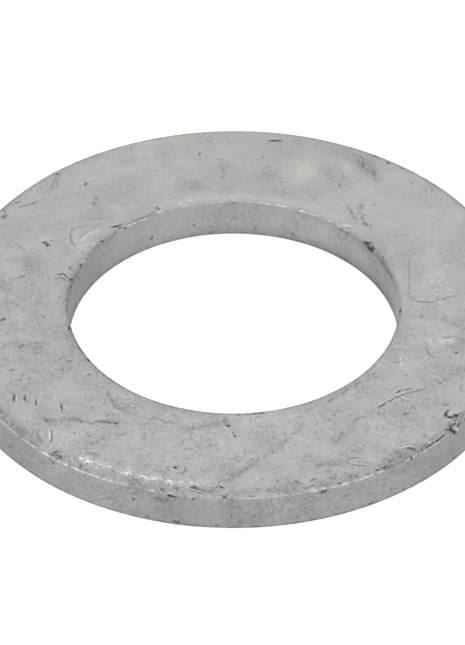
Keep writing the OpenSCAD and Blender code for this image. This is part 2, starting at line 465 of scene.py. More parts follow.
# Soft patches of tone: angle, along, half-length round, half-width across, lightness and warmth. They and
# the shades further down were chosen by hand, partly from printed tables of how much the photo and the
# render differed in each sector of the ring.
PATCHES = [
    (72.3, 14.7, 0.9, 1.1, 2.2, 1.6), (62.5, 16.2, 0.8, 0.5, 1.2, 0.9),
    (57.5, 16.75, 1.1, 0.7, -1.3, 0.7), (49.5, 17.1, 0.9, 0.6, 0.9, 1),
    (66, 17.4, 1.6, 0.5, -0.9, 0.4), (79, 15.6, 1.8, 1.2, -1.2, 0.6), (79.5, 13.6, 1, 0.7, -1, 0.5),
    (87.5, 14.8, 1.1, 1.3, 0.3, -1.2), (92.5, 14.2, 0.7, 0.8, -1, 0.8),
    (104, 12.6, 1.3, 0.9, -0.9, 0.4), (52, 12.2, 1.6, 0.9, 0.8, 0), (67, 12.2, 1.5, 0.9, -0.8, 0.2),
    (7, 14, 2, 1.1, -0.8, 0), (202, 16.3, 2, 1.1, 0.8, 0), (216, 14.2, 1.8, 1.1, 0.6, 0),
    (246, 12.2, 1.8, 0.9, 1, -0.4), (261, 14, 1.6, 1.1, 0.8, -0.4),
    (277, 14, 1.6, 1.1, -0.9, 0), (291, 12.9, 1.6, 1.2, 0.9, -0.4),
    (307, 16.2, 1.8, 1.1, 0.9, -0.2), (102, 15.2, 1.2, 1, 0, -0.5), (108, 17, 1.4, 0.7, 0.1, 0.9),
    (110, 13.6, 1.3, 1.1, 0.5, 0.3), (118, 15.6, 1, 1.4, 0.1, -0.6), (130, 13.8, 1.6, 1.3, -0.5, 0.2),
    (140, 15.4, 1.6, 1.2, -0.1, 0.2), (146, 12.2, 0.9, 0.5, 1.2, -0.2),
    (143, 11.5, 1.6, 0.45, 1.2, -0.2), (155, 15.2, 1.2, 1.2, 0.4, -0.4),
    (162.5, 13.9, 0.9, 0.6, -0.7, 0.6), (173.6, 14.7, 0.8, 0.4, -0.7, 0.3),
    (180, 12.4, 2, 1.2, 0.2, 0.2), (190, 14.4, 2.2, 1.4, -0.4, 0.5), (197, 14.1, 0.7, 0.8, -1, 0.6),
    (199.5, 13.3, 0.9, 0.4, -0.9, 0.3), (207, 14.8, 2, 1, -0.3, 0.4),
    (218, 13.6, 1.2, 0.9, 0.6, -0.2), (224, 16.2, 0.9, 0.4, -0.8, 0.6),
    (230, 13.7, 1.6, 0.8, 0.3, -0.3), (232, 12.2, 1.8, 0.5, -0.7, 0),
    (243, 16, 2, 1.2, -0.2, 0.6), (252, 11.9, 1.6, 0.6, 0.4, 0.3),
    (257.5, 12.55, 0.5, 0.28, -1, 0.2), (256, 14.6, 2.4, 1.4, 0.3, -0.3),
    (264, 16.4, 1.3, 0.8, -0.5, 0.3), (270, 11.6, 1, 0.6, -0.6, 0.4),
    (280, 15.6, 1.6, 1.4, 0.4, -0.6), (288, 12.2, 1.5, 0.9, 0.5, -0.5),
    (290.5, 16.8, 0.8, 0.6, -0.6, 0.4), (297, 13.4, 1.6, 1.4, 0.2, -0.2),
    (306, 15.8, 1.3, 1.1, 0.5, -0.5), (314, 15.2, 1.6, 1.4, -0.4, 0.7),
    (313, 17.2, 1.2, 0.6, -0.2, 0.5), (321.5, 16.6, 0.8, 0.6, -0.6, 0.4),
    (328, 12.4, 1.5, 1, 0.3, 0.4), (336, 14.6, 1.4, 1.2, -0.4, -0.4),
    (344.5, 13.8, 0.8, 0.8, 0.7, 0.7), (352, 12.6, 1.6, 1.2, 0.1, -0.9), (11, 13.2, 1.8, 1.2, 0.8, 0.7),
    (24, 14.8, 1.6, 1.6, 0.1, -0.5), (38, 14.6, 2, 1.6, 0.3, 0.5), (46, 12.3, 1.3, 0.6, -0.4, 0),
    (53, 14.6, 1.1, 0.9, 0.1, -0.4), (15, 12, 1.4, 0.6, -1.1, 0), (16, 14.2, 1.8, 1.2, 1.4, 0.5),
    (25, 13.5, 1.2, 0.8, 1.2, 0), (65, 14.4, 1.5, 1.3, -1.1, 0), (65, 16.8, 1.4, 0.7, -1.1, 0),
    (74, 15.2, 1, 0.7, 0.9, 0.5), (85, 12.6, 3, 1, -0.7, 0), (115, 15.1, 1.4, 0.8, 1.1, 0),
    (105, 13.7, 1.2, 0.8, 0.8, 0), (155, 12, 1, 0.6, -1.2, 0.3), (155, 15.1, 1.2, 0.8, -1.1, 0.3),
    (175, 13.7, 1.3, 1, -1.2, 0), (195, 13.6, 1.2, 0.8, 1.3, 0), (235, 13.6, 1.2, 0.7, -1.2, 0),
    (255, 14.4, 1.6, 1.1, 1, 0), (285, 13.4, 1.3, 0.8, 1.2, 0), (295, 14, 1.4, 1.3, 1.3, -0.3),
    (303, 16.8, 1.8, 0.8, 0.8, -0.3), (344, 15.1, 1.2, 0.8, -1.7, -0.6), (354, 13.8, 1.3, 1, 1.2, 0),
    # wide patches of a warmer or a bluer grey
    (32, 16.6, 3, 0.9, 0, 0.8), (100, 16.6, 4.5, 0.9, 0, 0.8), (125, 16.6, 4, 0.9, 0, 0.9),
    (158, 14, 3.5, 2.2, 0, -0.4), (318, 14.6, 4, 2.5, 0, -0.9),
    (337, 14.3, 4, 2.5, 0, -0.6), (278, 14.6, 4, 2.5, 0, -0.3),
    # the two walls, which look warmer at one end and bluer at the other
    (218, on_rim(1.3), 7, 1.5, 0, 1.9), (290, on_rim(1.3), 9, 1.5, 0, -1.1),
    (22, on_bore(1.3), 3.5, 1.5, 0, 2.8), (50, on_bore(1.3), 3, 1.5, 0, 1.1),
    (108, on_bore(1.3), 5, 1.5, 0, -1), (140, on_bore(1.3), 3, 1.5, 0, -1),
]

# Scuffed stretches of the rim, a little dented and dirty: angle, half-length in degrees, and how much
RIM_SCUFFS = [
    (248, 10, 0.3), (275, 12, 0.4), (214, 3, 0.3), (222, 2.2, 0.8), (233, 1.5, 0.9), (256, 6, 0.5),
    (303, 6, 0.5), (312, 5, 0.7), (320, 4, 1), (60, 5, 0.4), (100, 6, 0.4), (20, 5, 0.4),
    (345, 6, 0.5), (175, 5, 0.5), (140, 3, 0.4),
]

# Where the corner of the rim is painted bright, as wear and as a painted highlight along the edge, on top of
# what it is all round: angle, half-length in degrees, and how bright
RIM_WEAR_AND_HIGHLIGHT_ALL_ROUND = 0.3
RIM_WEAR_AND_HIGHLIGHT = [
    (225, 7, 0.7), (238, 9, 0.9), (254, 6, 0.4), (276, 7, 0.4), (294, 8, 0.8), (309, 7, 0.5),
    (314, 3, 0.5), (20, 9, 0.4), (140, 12, 0.4),
]

# The same for the mouth of the hole
MOUTH_WEAR_AND_HIGHLIGHT_ALL_ROUND = 0.6
MOUTH_WEAR_AND_HIGHLIGHT = [(72, 32, 0.4), (152, 24, -0.5), (15, 15, -0.4)]

# Where the zinc is painted darker than on the top face, or brighter: angle, half-length in degrees, and
# share. It is painted shade on the walls and on the foot of the wall of the hole, and painted shade and
# painted highlight on a band of the top face beside the hole.
RIM_SHADE = 0.12
RIM_SHADES = [(219, 6, 0.06), (262, 8, 0.05), (292, 8, -0.05), (316, 8, 0.12)]
BORE_SHADE = -0.03
BORE_SHADES = [(165, 22, 0.38), (176, 6, 0.2), (13, 22, 0.34)]
BORE_FOOT_HEIGHT = 0.75
BORE_FOOT_SHADE = 0.18
BORE_FOOT_SHADES = [(48, 25, 0.22), (158, 9, -0.09)]
MOUTH_SHADES = [
    (172, 12, 0.2), (150, 12, 0.12), (128, 9, 0.06), (28, 10, 0.13), (78, 22, -0.14), (104, 14, -0.08),
    (200, 14, 0.1), (230, 16, 0.05), (262, 16, 0.07), (290, 14, 0.08), (320, 14, 0.05), (347, 12, 0.07),
]
# Painted shade on the mouth of the hole
MOUTH_DARKENING = [(20, 14, 0.3), (172, 13, 1), (145, 10, 0.35)]
# Darkening of the wall of the hole just below its mouth
BORE_LIP_DARKENING = [(25, 15, 0.7), (50, 12, 0.25)]
# How much darker the band of the top face beside the rim is
BRIM_SHADES = [(40, 12, 0.045), (63, 14, 0.055), (90, 14, 0.03), (118, 12, 0.015), (141, 10, 0.03)]

# How strongly the zinc is mottled and grained, on average and how much more so in front
MOTTLE, MOTTLE_LEAN = 0.93, 0.27
# How many times stronger it is in the hole, on average and how much more so towards an angle
HOLE_MOTTLE, HOLE_MOTTLE_LEAN, HOLE_MOTTLE_ANGLE = 1.25, 0.25, 30

# The crease behind the rim where it glitters, with crumbs of zinc painted bright as highlights, as a path
CREASE = [(237, 17.9), (242, 17.88), (245, 17.8), (249, 17.85), (253, 17.75), (257, 17.67), (262, 17.85)]
CREASE_LIT_CRUMBS = 125

# Stretches of the rim where black grit sits: first and last angle, along, spread and how many grains
GRIT = [
    (185, 212, 18.1, 0.2, 16), (213, 222, 18.25, 0.14, 9), (229, 234, 18.3, 0.1, 9),
    (238, 262, 18.25, 0.14, 14), (262, 298, 18.2, 0.18, 26), (298, 317, 18.35, 0.06, 20),
    (302, 310, 17.9, 0.2, 6), (317, 326, 18.25, 0.18, 16), (40, 70, 18, 0.2, 20),
    (95, 150, 18, 0.2, 24), (145, 158, 10.74, 0.06, 12), (133, 146, 10.76, 0.04, 8),
]
# And stretches where crumbs sit that are painted bright as highlights
LIT_CRUMBS = [(146, 158, 10.84, 0.05, 9), (3, 18, 13.4, 0.9, 42), (139, 150, 11.6, 0.4, 9)]

# Small marks all over: the distance from the axis that their lengths are right at, and for each part of
# the section its lowest and highest along and how many marks it has
PEPPER_R = 15
PEPPER = [(10.9, 17.9, 60), (19, 20.8, 20), (8.3, 10.3, 12), (21.5, 28.5, 60)]

# How uneven the plate and its zinc are: height in millimetres, fineness and seed
UNEVENNESS = [(0.012, 0.2, 11), (0.006, 0.7, 12), (0.003, 2.2, 13), (0.002, 4.5, 14)]
RAGGED_EDGE_HEIGHT = 0.02
RANDOM_SEED = 20


def add_object(name, data):
    thing = bpy.data.objects.new(name, data)
    bpy.context.scene.collection.objects.link(thing)
    return thing


# ---- The ring's mesh ----
def wander(values, scale, seed):
    """Smooth random numbers from -1 to 1 for points in an array of shape (n, 3)."""
    offset = Vector((seed * 7.3, seed * -3.1, seed * 5.7))
    return np.array([noise.noise(Vector(v) * scale + offset) for v in values])


def round_wander(angles, lumps, seed):
    """Smooth random numbers from -1 to 1 that run round the ring and meet themselves."""
    turn = np.stack([np.cos(angles), np.sin(angles), np.zeros_like(angles)], 1) * lumps / (2 * math.pi)
    return wander(turn, 1.0, seed)


def roll_widths(angles):
    """How wide and how deep the rolled-over rim is at each angle: deepest in front, shallow behind."""
    lean = np.cos(angles - math.radians(FRONT_ANGLE))
    dip = np.exp(-((np.degrees(angles) - DIP_ANGLE) / DIP_HALF_LENGTH) ** 2)
    width = RIM_ROLL_W + ROLL_W_LEAN * lean
    width += 0.05 * round_wander(angles, 14, 1) + 0.02 * round_wander(angles, 60, 2)
    drop = RIM_ROLL_H - 0.01 + ROLL_H_LEAN * lean + DIP_DEPTH * dip
    drop += 0.02 * round_wander(angles, 10, 3) + 0.015 * round_wander(angles, 50, 4)
    return width, drop


def section(angles):
    """The rows of the mesh as arrays of (row, column): distance from the axis, height, and along."""
    outer, bore = OUTER_R - INSET, BORE_R + INSET
    low, high = INSET, THICKNESS - INSET
    edge, quarter = BOTTOM_EDGE_R, math.pi / 2
    roll_w, roll_h = roll_widths(angles)
    mouth_w = MOUTH_ROLL_W * (1 + 0.15 * round_wander(angles, 20, 5))
    mouth_h = MOUTH_ROLL_H * (1 + 0.2 * round_wander(angles, 16, 6))
    top_start, top_end = BORE_R + MOUTH_ROLL_W, OUTER_R - RIM_ROLL_W
    bottom_start = on_rim(edge) + edge * quarter
    bottom_end = bottom_start + outer - bore - 2 * edge
    radii, heights, alongs = [], [], []

    def straight(rows, radius, height, along):
        """Rows from the start towards the end of each pair."""
        for i in range(rows):
            r, z, s = (start + (end - start) * (i / rows) for start, end in (radius, height, along))
            radii.append(r + 0 * angles)
            heights.append(z + 0 * angles)
            alongs.append(s)

    def arc(rows, radius, height, r, turn, along):
        """Rows on an arc round a point of the section. turn starts at +Z and grows outwards."""
        for i in range(rows):
            a, s = (start + (end - start) * (i / rows) for start, end in (turn, along))
            radii.append(radius + r * np.sin(a) + 0 * angles)
            heights.append(height + r * np.cos(a) + 0 * angles)
            alongs.append(s)

    straight(BORE_ROWS, (bore, bore), (low + edge, high - mouth_h), (on_bore(edge), MOUTH_CORNER))
    r, turn = roll_radius(mouth_w, mouth_h), roll_angle(mouth_w, mouth_h)
    arc(MOUTH_ROWS, bore + mouth_w, high - r, r, (-turn, 0), (MOUTH_CORNER, top_start))
    straight(TOP_ROWS, (bore + mouth_w, outer - roll_w), (high, high), (top_start, top_end))
    r, turn = roll_radius(roll_w, roll_h), roll_angle(roll_w, roll_h)
    arc(RIM_ROLL_ROWS, outer - roll_w, high - r, r, (0, turn), (top_end, RIM_CORNER))
    straight(RIM_ROWS, (outer, outer), (high - roll_h, low + edge), (RIM_CORNER, on_rim(edge)))
    arc(CORNER_ROWS, outer - edge, low + edge, edge, (quarter, 2 * quarter), (on_rim(edge), bottom_start))
    straight(BOTTOM_ROWS, (outer - edge, bore + edge), (low, low), (bottom_start, bottom_end))
    arc(CORNER_ROWS, bore + edge, low + edge, edge, (2 * quarter, 3 * quarter),
        (bottom_end, bottom_end + edge * quarter))
    return np.array(radii), np.array(heights), np.array(alongs)


def surface_normals(points):
    """Unit normals of a grid of points, of shape (row, column, 3), that closes both ways."""
    across = np.roll(points, -1, 0) - np.roll(points, 1, 0)
    around = np.roll(points, -1, 1) - np.roll(points, 1, 1)
    normals = np.cross(across, around)
    return normals / np.linalg.norm(normals, axis=2, keepdims=True)


def path_coordinates(dx, dy):
    """Where points lie beside a path whose corners are at (dx, dy) from each of them, in millimetres.

    dx and dy have the shape (point, corner). Returns how far along the path each point is, from -1 to
    1, and its distance to the left of the path in millimetres.
    """
    step = np.stack([np.diff(dx), np.diff(dy)], 2)
    length = np.linalg.norm(step, axis=2)
    length = np.maximum(length, 1e-6)
    start = np.concatenate([np.zeros((len(dx), 1)), np.cumsum(length, 1)], 1)
    t = -(dx[:, :-1] * step[..., 0] + dy[:, :-1] * step[..., 1]) / length ** 2
    held = np.clip(t, 0, 1)
    near_x = dx[:, :-1] + held * step[..., 0]
    near_y = dy[:, :-1] + held * step[..., 1]
    best = np.argmin(near_x ** 2 + near_y ** 2, 1)
    row = np.arange(len(dx))
    first, last = best == 0, best == length.shape[1] - 1
    free = t[row, best]
    free = np.where((free < 0) & ~first, 0, np.where((free > 1) & ~last, 1, free))
    total = start[:, -1]
    place = start[row, best] + free * length[row, best]
    along = 2 * place / total - 1
    unit = step[row, best] / length[row, best][:, None]
    left = unit[:, 0] * dy[row, best] - unit[:, 1] * dx[row, best]
    return along, left


def waver(path):
    """The path with a corner put in the middle of each long step, a little to one side."""
    bent = [path[0]]
    for (a0, s0), (a1, s1) in zip(path, path[1:]):
        length = math.hypot(math.radians(a1 - a0) * s0, s1 - s0)
        if length > 0.35:
            side = 0.12 * noise.noise(Vector((a0 * 3.1, s0 * 7.7, 0.5))) * length
            a = (a0 + a1) / 2 - math.degrees((s1 - s0) / length * side / s0)
            bent.append((a, (s0 + s1) / 2 + math.radians(a1 - a0) * s0 / length * side))
        bent.append((a1, s1))
    return bent


class Surface:
    """The grid of the ring and what its marks do to it."""

    def __init__(self):
        self.angles = np.arange(COLUMNS) / COLUMNS * 2 * math.pi
        self.radius, self.height, self.row_along = section(self.angles)
        rows = len(self.row_along)
        self.rows = rows
        turn = np.broadcast_to(self.angles, (rows, COLUMNS))
        self.points = np.stack(
            [self.radius * np.cos(turn), self.radius * np.sin(turn), self.height], 2)
        self.normals = surface_normals(self.points)
        self.along = np.broadcast_to(self.row_along[:, None], (rows, COLUMNS))
        self.degrees = np.broadcast_to(np.degrees(self.angles), (rows, COLUMNS))
        self.rise, self.lightness, self.warmth, self.grime, self.dirt, self.wear = np.zeros(
            (6, rows, COLUMNS))
        self.stroke = np.zeros((STROKE_LAYERS, rows, COLUMNS, 3))
        self.stroke[..., 1] = FAR_ACROSS
        self.look = np.zeros((STROKE_LAYERS, rows, COLUMNS, 3))
        self.taken = np.zeros((STROKE_LAYERS, rows, COLUMNS), bool)

    def offsets(self, angle, along):
        """Millimetres round and across from a place to every point of the grid."""
        round_by = (self.degrees - angle + 180) % 360 - 180
        return np.radians(round_by) * self.radius, self.along - along

    def near(self, path, reach):
        """Which grid points lie in the box round a path."""
        angles = [a for a, _ in path]
        alongs = [s for _, s in path]
        middle = (min(angles) + max(angles)) / 2
        spread = (max(angles) - min(angles)) / 2
        round_by = np.abs((self.degrees - middle + 180) % 360 - 180)
        margin = np.degrees(reach / self.radius)
        inside = (self.along > min(alongs) - reach) & (self.along < max(alongs) + reach)
        return inside & (round_by < spread + margin)

    def beside_path(self, path, mask):
        """Where the masked points lie beside a path, and how far apart its ends are, seen from each."""
        offsets = [self.offsets(angle, along) for angle, along in path]
        dx = np.array([-x[mask] for x, _ in offsets]).T
        dy = np.array([-y[mask] for _, y in offsets]).T
        along, left = path_coordinates(dx, dy)
        return along, left, np.hypot(dx[:, 0] - dx[:, -1], dy[:, 0] - dy[:, -1])

    def free_layer(self, mask):
        """The first layer where no other mark lies under the mask, or the last layer."""
        for layer in range(STROKE_LAYERS):
            if not (self.taken[layer] & mask).any():
                return layer
        return STROKE_LAYERS - 1

    def put(self, mask, along, across, look, depth):
        """Stores a mark's own coordinates, in half-lengths and half-widths, and dents the mesh."""
        core = (np.abs(along) < 1.5) & (np.abs(across) < 3)
        wide = np.zeros_like(mask)
        wide[mask] = core
        layer = self.free_layer(wide)
        values = np.stack([along, across, np.zeros_like(along)], 1)
        free = ~self.taken[layer][mask]
        keep = mask.copy()
        keep[mask] = free
        self.stroke[layer][keep] = values[free]
        self.look[layer][keep] = look
        self.taken[layer] |= wide
        hollow = np.exp(-1.3 * (along ** 4 + across ** 2))
        lip = np.exp(-1.3 * along ** 2 - 1.6 * (np.abs(across) - 1.8) ** 2)
        self.rise[mask] += -depth * hollow + 0.3 * depth * lip

    def mark(self, kind, width, path):
        """Draws a mark along a path, which a steady hand would never follow exactly."""
        dark, bright, lip, depth = KINDS[kind]
        path = waver(path)
        mask = self.near(path, 1.2 * width + 0.35)
        along, left, size = self.beside_path(path, mask)
        stretch = 1 + 0.5 * width / np.maximum(size, 0.05)
        self.put(mask, along / stretch, left / (width / 2), (dark, bright, lip), depth)

    def draw(self, marks, on_wall):
        """Draws the marks of a table. on_wall turns a height on a wall into an along."""
        for kind, width, *corners in marks:
            path = [(angle, on_wall(along) if along < THICKNESS else along)
                    for angle, along in zip(corners[::2], corners[1::2])]
            self.mark(kind, width, path)

    def patch(self, angle, along, half_round, half_across, lightness, warmth):
        """A soft patch of the zinc that is lighter or darker, and warmer or bluer."""
        x, y = self.offsets(angle, along)
        weight = np.exp(-((x / half_round) ** 2 + (y / half_across) ** 2))
        self.lightness += weight * lightness
        self.warmth += weight * warmth

    def raise_flake(self):
        """A thin scale of zinc that stands a little proud, inside its outline."""
        x, y = self.offsets(FLAKE_ANGLE, FLAKE_ALONG)
        inside = 1 - np.hypot(x / FLAKE_HALF_LENGTH, y / FLAKE_HALF_WIDTH)
        self.rise += FLAKE_HEIGHT * np.clip(inside * 6, 0, 1)
        self.draw(FLAKE_MARKS, on_bore)

    def smudge(self, width, dark, path):
        """A soft smear with no edge of its own, where the zinc is dirtier and a little browner."""
        mask = self.near(path, width)
        along, left, size = self.beside_path(path, mask)
        beyond = np.clip(np.abs(along) - 1, 0, None) * size[0] / 2
        weight = dark * np.exp(-((left ** 2 + beyond ** 2) * 4 / width ** 2))
        self.grime[mask] += weight
        self.warmth[mask] += 0.5 * weight

    def bump(self, angle, half_length):
        """A soft bump round one angle, from 0 to 1, with its half-length in degrees."""
        round_by = (self.degrees - angle + 180) % 360 - 180
        return np.exp(-(round_by / half_length) ** 2)

    def bumps(self, stretches):
        """The sum of such bumps, each with its own height."""
        return sum(amount * self.bump(angle, half_length) for angle, half_length, amount in stretches)

    def ridge(self, place, half_width):
        """A soft band that runs all round the ring at one place across it."""
        return np.exp(-((self.along - place) / half_width) ** 2)

    def scuff_rim(self):
        """Dirt beside the corner of the rim, and a dent in it, wherever it is scuffed."""
        scuffs = self.bumps(RIM_SCUFFS)
        self.grime += self.ridge(RIM_CORNER - 0.3, 0.28) * scuffs
        self.rise -= 0.02 * self.ridge(RIM_CORNER, 0.2) * scuffs

    def shade(self):
        """How much darker the walls and the bands beside the hole and the rim are painted than the top face;
        on the walls and beside the hole it is painted shade, and painted highlight where it is negative.
        """
        steep = self.steep()
        foot = np.exp(-(self.height / BORE_FOOT_HEIGHT) ** 2)
        bore = BORE_SHADE + self.bumps(BORE_SHADES) + foot * (BORE_FOOT_SHADE + self.bumps(BORE_FOOT_SHADES))
        rim = RIM_SHADE + self.bumps(RIM_SHADES)
        beside = self.ridge(MOUTH_CORNER + 0.3, 0.4) * self.bumps(MOUTH_SHADES)
        beside += self.ridge(RIM_CORNER - 0.55, 0.6) * self.bumps(BRIM_SHADES)
        in_hole = self.along < MOUTH_CORNER
        return steep * np.where(in_hole, bore, rim) + np.where(in_hole, 0, beside)

    def steep(self):
        """1 on the two walls and 0 on the faces."""
        return np.clip(1 - np.abs(self.normals[..., 2]) * 1.6, 0, 1)

    def darken_edges(self):
        """Darker bands along the edges, painted shade with some dirt, least of it on the front of the rim.
        """
        front = 0.5 - 0.5 * np.sin(np.radians(self.degrees))
        front = np.clip(front * 1.6 - 0.3, 0, 1)
        for place, half_width, share in (
                (MOUTH_CORNER + 0.06, 0.13, 0.7 * front + self.bumps(MOUTH_DARKENING)),
                (MOUTH_CORNER - 0.2, 0.25, self.bumps(BORE_LIP_DARKENING)),
                (RIM_CORNER - 0.2, 0.22, 1.2 - 1.2 * front),
                (on_rim(0.1), 0.09, 0.95),
                (self.row_along[-1], 0.1, 0.8),
                (self.row_along[0], 0.14, 0.65)):
            self.dirt += share * self.ridge(place, half_width)

    def mottle(self):
        """How strongly the zinc is mottled at each place."""
        lean = np.cos(np.radians(self.degrees - FRONT_ANGLE))
        hole = HOLE_MOTTLE + HOLE_MOTTLE_LEAN * np.cos(np.radians(self.degrees - HOLE_MOTTLE_ANGLE))
        return (MOTTLE + MOTTLE_LEAN * lean) * np.where(self.along < MOUTH_CORNER, hole, 1)

    def wear_and_highlight_edges(self):
        """How bright the two corners of the top side are painted, as wear and as a painted highlight."""
        outside = self.along > (BORE_R + OUTER_R) / 2
        rim = RIM_WEAR_AND_HIGHLIGHT_ALL_ROUND + self.bumps(RIM_WEAR_AND_HIGHLIGHT)
        mouth = MOUTH_WEAR_AND_HIGHLIGHT_ALL_ROUND + self.bumps(MOUTH_WEAR_AND_HIGHLIGHT)
        self.wear += np.where(outside, rim, mouth)

    def roughen(self):
        """The unevenness of the plate, the zinc that ran on it, and its grain."""
        flat = self.points.reshape(-1, 3)
        shape = self.rise.shape
        for height, scale, seed in UNEVENNESS:
            self.rise += height * wander(flat, scale, seed).reshape(shape)
        corner = np.minimum(np.abs(self.along - RIM_CORNER), np.abs(self.along - MOUTH_CORNER))
        ragged = wander(flat, 3.0, 15).reshape(shape)
        self.rise -= RAGGED_EDGE_HEIGHT * np.clip(ragged, 0, 1) * np.exp(-(corner / 0.12) ** 2)

    def bead_crease(self, rng):
        """Crumbs of zinc painted bright as highlights, and pits between them, along the crease behind the
        rim.
        """
        angles, alongs = zip(*CREASE)
        for _ in range(CREASE_LIT_CRUMBS):
            angle = rng.uniform(angles[0], angles[-1])
            along = np.interp(angle, angles, alongs) + rng.normal(0, 0.16)
            kind = rng.choice(["glint", "glint", "glint", "scratch"])
            end = (angle + rng.uniform(0.1, 0.8), along + rng.normal(0, 0.04))
            self.mark(kind, rng.uniform(0.07, 0.16), [(angle, along), end])

    def strew_grit(self, rng):
        """Black grit, and crumbs painted bright as highlights, strewn over the stretches where they sit."""
        for first, last, along, spread, count in GRIT:
            for _ in range(count):
                angle = rng.uniform(first, last)
                start = min(along + rng.normal(0, spread), RIM_CORNER - 0.03)
                kind = rng.choice(["scratch", "scratch", "dot", "nick"])
                end = (angle + rng.uniform(0.1, 0.9), start + rng.normal(0, 0.05))
                self.mark(kind, rng.uniform(0.06, 0.13), [(angle, start), end])
        for first, last, along, spread, count in LIT_CRUMBS:
            for _ in range(count):
                angle = rng.uniform(first, last)
                start = along + rng.normal(0, spread)
                end = (angle + rng.uniform(-0.8, 0.8), start + rng.normal(0, 0.1))
                self.mark("score", rng.uniform(0.07, 0.14), [(angle, start), end])

    def pepper(self, rng):
        """Small marks all over, as on any washer that has been tumbled with others."""
        for along_low, along_high, count in PEPPER:
            for _ in range(count):
                angle = rng.uniform(0, 360)
                along = rng.uniform(along_low, along_high)
                kind = rng.choice(["dot", "hairline", "hairline"])
                length = rng.uniform(0.05, 0.2) if kind == "dot" else rng.uniform(0.3, 1.2)
                lean = rng.uniform(0, math.pi)
                turn = math.degrees(math.cos(lean) * length / PEPPER_R)
                end = (angle + turn, along + math.sin(lean) * length)
                self.mark(kind, rng.uniform(0.08, 0.14), [(angle, along), end])

    def finished_points(self):
        """The displaced points, held inside the CAD part's own box and bore."""
        moved = self.points + self.normals * self.rise[..., None]
        radius = np.hypot(moved[..., 0], moved[..., 1])
        held = np.clip(radius, BORE_R, OUTER_R) / radius
        moved[..., :2] *= held[..., None]
        moved[..., 2] = np.clip(moved[..., 2], 0, THICKNESS)
        return moved


def set_attribute(mesh, name, values):
    """Stores a number, or a vector, for every point of the mesh."""
    kind, field = ("FLOAT_VECTOR", "vector") if values.ndim == 3 else ("FLOAT", "value")
    layer = mesh.attributes.new(name, kind, "POINT")
    layer.data.foreach_set(field, np.ascontiguousarray(values, np.float32).ravel())


def unroll(mesh, rows, row_along):
    """A UV map of two strips, each half of the ring unrolled, with the bottom face at half size."""
    bottom = on_rim(BOTTOM_EDGE_R) + BOTTOM_EDGE_R * math.pi / 2
    ring = np.append(row_along, row_along[-1] + BOTTOM_EDGE_R * math.pi / 2 / CORNER_ROWS)
    ring = np.where(ring > bottom, bottom + (ring - bottom) * 0.5, ring)
    ring = (ring - ring[0]) / (ring[-1] - ring[0])
    gap = 0.004
    half = COLUMNS // 2
    uv = np.zeros((rows, COLUMNS, 4, 2))
    row, column = np.indices((rows, COLUMNS))
    strip = column // half
    for corner, (up, over) in enumerate(((0, 0), (0, 1), (1, 1), (1, 0))):
        across = (column - strip * half + over) / half
        uv[..., corner, 0] = gap + (1 - 2 * gap) * across
        uv[..., corner, 1] = strip * 0.5 + gap + (0.5 - 2 * gap) * ring[row + up]
    layer = mesh.uv_layers.new(name="OFBake")
    layer.data.foreach_set("uv", uv.astype(np.float32).ravel())


def make_ring():
    """The ring with everything that its material needs to know."""
    rng = np.random.default_rng(RANDOM_SEED)
    surface = Surface()
    for place in PATCHES:
        surface.patch(*place)
    for smear in SMUDGES:
        surface.smudge(*smear)
    surface.draw(TOP_MARKS + RIM_MARKS, on_rim)
    surface.draw(BORE_MARKS, on_bore)
    for width, angle, along in SPOTS:
        surface.mark("dot", width, [(angle, along), (angle - SPOT_LENGTH, along)])
    surface.raise_flake()
    surface.scuff_rim()
    surface.darken_edges()
    surface.wear_and_highlight_edges()
    surface.bead_crease(rng)
    surface.strew_grit(rng)
    surface.pepper(rng)
    surface.roughen()

    rows = surface.rows
    points = surface.finished_points().reshape(-1, 3) * MM
    row, column = np.indices((rows, COLUMNS))
    next_row, next_column = (row + 1) % rows, (column + 1) % COLUMNS
    corners = [(row, column), (row, next_column), (next_row, next_column), (next_row, column)]
    quads = np.stack([a * COLUMNS + b for a, b in corners], 2).reshape(-1, 4)
    mesh = bpy.data.meshes.new("washer_zinc")
    mesh.from_pydata(points, [], quads, shade_flat=False)

    set_attribute(mesh, "rim_corner", np.minimum(np.abs(surface.along - RIM_CORNER), 2))
    set_attribute(mesh, "mouth_corner", np.minimum(np.abs(surface.along - MOUTH_CORNER), 2))
    for name in ("lightness", "warmth", "grime", "dirt", "wear"):
        set_attribute(mesh, name, getattr(surface, name))
    for name in ("steep", "shade", "mottle"):
        set_attribute(mesh, name, getattr(surface, name)())
    for layer in range(STROKE_LAYERS):
        set_attribute(mesh, f"stroke_{layer}", surface.stroke[layer])
        set_attribute(mesh, f"look_{layer}", surface.look[layer])
    unroll(mesh, rows, surface.row_along)

    return add_object("washer_zinc", mesh)


